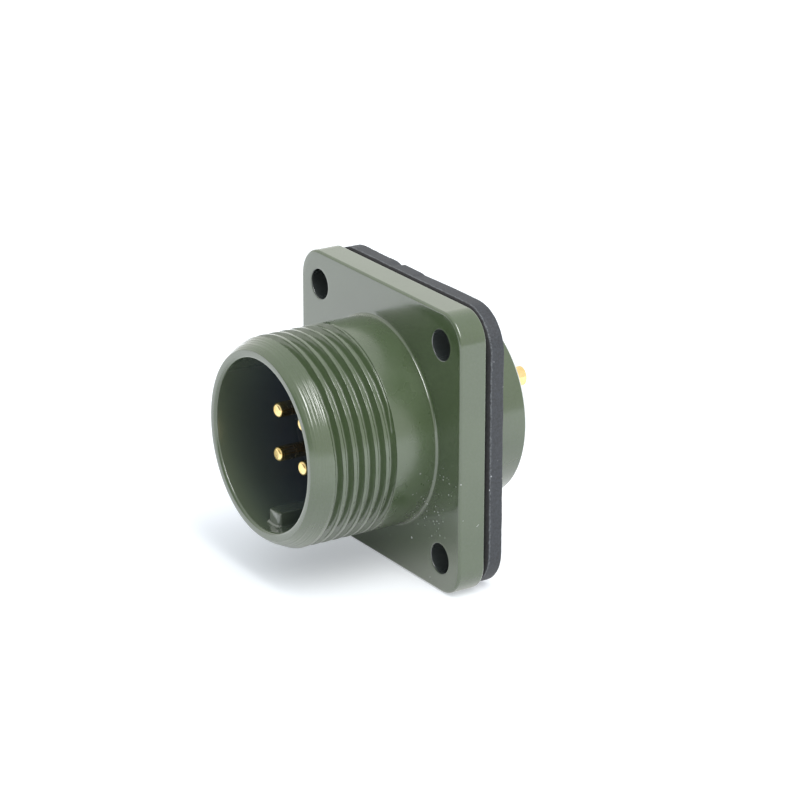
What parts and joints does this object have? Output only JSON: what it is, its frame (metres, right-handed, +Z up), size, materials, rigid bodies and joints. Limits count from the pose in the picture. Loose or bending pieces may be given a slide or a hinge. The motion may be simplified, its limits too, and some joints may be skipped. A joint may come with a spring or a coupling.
{
  "type": "panel-mount circular connector receptacle",
  "caption": "Square-flange panel receptacle: threaded round barrel with gold pins in a keyed socket, solder cups at the rear and a rubber gasket behind the flange.",
  "frame": {"origin": "on the mating axis, in the plane where the gasket meets the panel", "axes": "-Y points out of the threaded mating end, +Y out of the solder-cup end, +Z up, +X to the right when looking at the mating end"},
  "size_m": [0.0302, 0.0305, 0.0302],
  "materials": {
    "olive_paint": "semi-gloss olive paint",
    "black_insulator": "satin black",
    "gold_plate": "gold plated",
    "ring_steel": "plain spring steel",
    "gasket_rubber": "matt black rubber"
  },
  "bodies": {
    "root": {"shell": "olive_paint", "front_insert": "black_insulator", "rear_insert": "black_insulator", "contact_pin_a": "gold_plate", "contact_pin_b": "gold_plate", "contact_pin_c": "gold_plate", "contact_pin_d": "gold_plate", "insert_retaining_ring": "ring_steel", "flange_gasket": "gasket_rubber"}
  },
  "joints": []
}
